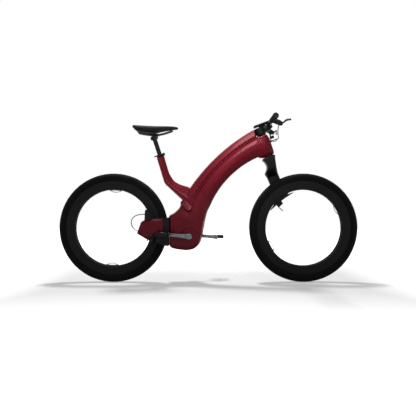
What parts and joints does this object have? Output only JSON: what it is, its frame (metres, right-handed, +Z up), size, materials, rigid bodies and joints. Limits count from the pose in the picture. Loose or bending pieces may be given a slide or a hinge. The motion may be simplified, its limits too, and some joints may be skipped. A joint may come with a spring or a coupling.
{
  "type": "hubless electric bicycle",
  "caption": "Electric bicycle whose wheels have no hubs or spokes: each rim runs on rollers held from one side, with a swept tubular frame, leaning seat mast and straight bar.",
  "frame": {"origin": "middle of the top of the saddle, where the rider sits", "axes": "+X forward, +Y to the rider's left, +Z up"},
  "size_m": [1.836, 0.68, 0.9969],
  "materials": {
    "red_paint": "gloss metallic paint",
    "black_aluminium": "satin anodised",
    "steel": "satin",
    "black_rim": "satin",
    "tyre_rubber": "matt",
    "roller_nylon": "satin",
    "clear_plastic": "gloss",
    "black_plastic": "satin",
    "grip_rubber": "matt",
    "hose_rubber": "satin",
    "saddle_cover": "matt"
  },
  "bodies": {
    "frame": {"main_tube": "red_paint", "motor_housing": "red_paint", "motor_unit": "steel", "motor_cover_left": "red_paint", "motor_cover_right": "red_paint", "seat_mast": "red_paint", "seat_collar": "black_aluminium", "collar_lever": "black_aluminium", "lower_head_bearing": "steel", "upper_head_bearing": "steel", "rear_arm": "black_aluminium", "rear_arm_cover": "red_paint", "lower_guard": "black_aluminium", "rear_caliper": "black_aluminium", "rear_carrier": "black_aluminium", "rear_rollers": "roller_nylon", "hose_port": "black_aluminium", "rear_brake_hose": "hose_rubber"},
    "seat": {"seat_post": "black_aluminium", "saddle_clamp": "black_aluminium", "saddle_rails": "steel", "saddle": "saddle_cover"},
    "steering": {"fork_crown": "black_aluminium", "fork_leg": "black_aluminium", "steerer": "black_aluminium", "stem": "black_aluminium", "handlebar": "black_aluminium", "grip_left": "grip_rubber", "grip_right": "grip_rubber", "brake_clamp_left": "black_aluminium", "brake_clamp_right": "black_aluminium", "brake_blade_left": "black_aluminium", "brake_blade_right": "black_aluminium", "screen": "black_plastic", "headlamp": "black_plastic", "front_carrier": "black_aluminium", "front_rollers": "roller_nylon", "front_caliper": "black_aluminium", "brake_hose_left": "hose_rubber", "brake_hose_right": "hose_rubber"},
    "rear_wheel": {"rear_tyre": "tyre_rubber", "rear_rim": "black_rim", "rear_reflectors": "clear_plastic"},
    "front_wheel": {"front_tyre": "tyre_rubber", "front_rim": "black_rim", "front_reflectors": "clear_plastic"},
    "crank": {"crank_spindle": "steel", "crank_arm_left": "black_aluminium", "crank_arm_right": "black_aluminium", "pedal_pin_left": "steel", "pedal_pin_right": "steel"},
    "pedal_left_body": {"pedal_left": "black_plastic"},
    "pedal_right_body": {"pedal_right": "black_plastic"}
  },
  "joints": [
    {"name": "steering_turn", "type": "hinge", "parent": "frame", "child": "steering", "pos_m": [0.86971, 0, -0.64339], "axis": [-0.342, 0, 0.9397], "range_deg": [-60, 60]},
    {"name": "seat_post_slide", "type": "slide", "parent": "frame", "child": "seat", "axis": [-0.3123, 0, 0.95], "range_m": [-0.06, 0.03]},
    {"name": "rear_wheel_spin", "type": "hinge", "parent": "frame", "child": "rear_wheel", "pos_m": [-0.256, 0, -0.628], "axis": [0, 1, 0], "continuous": true},
    {"name": "front_wheel_spin", "type": "hinge", "parent": "steering", "child": "front_wheel", "pos_m": [0.912, 0, -0.628], "axis": [0, 1, 0], "continuous": true},
    {"name": "crank_spin", "type": "hinge", "parent": "frame", "child": "crank", "pos_m": [0.212, 0, -0.677], "axis": [0, 1, 0], "continuous": true},
    {"name": "pedal_left_spin", "type": "hinge", "parent": "crank", "child": "pedal_left_body", "pos_m": [0.37637, 0.149, -0.69138], "axis": [0, 1, 0], "continuous": true},
    {"name": "pedal_right_spin", "type": "hinge", "parent": "crank", "child": "pedal_right_body", "pos_m": [0.04763, -0.149, -0.66262], "axis": [0, 1, 0], "continuous": true}
  ]
}
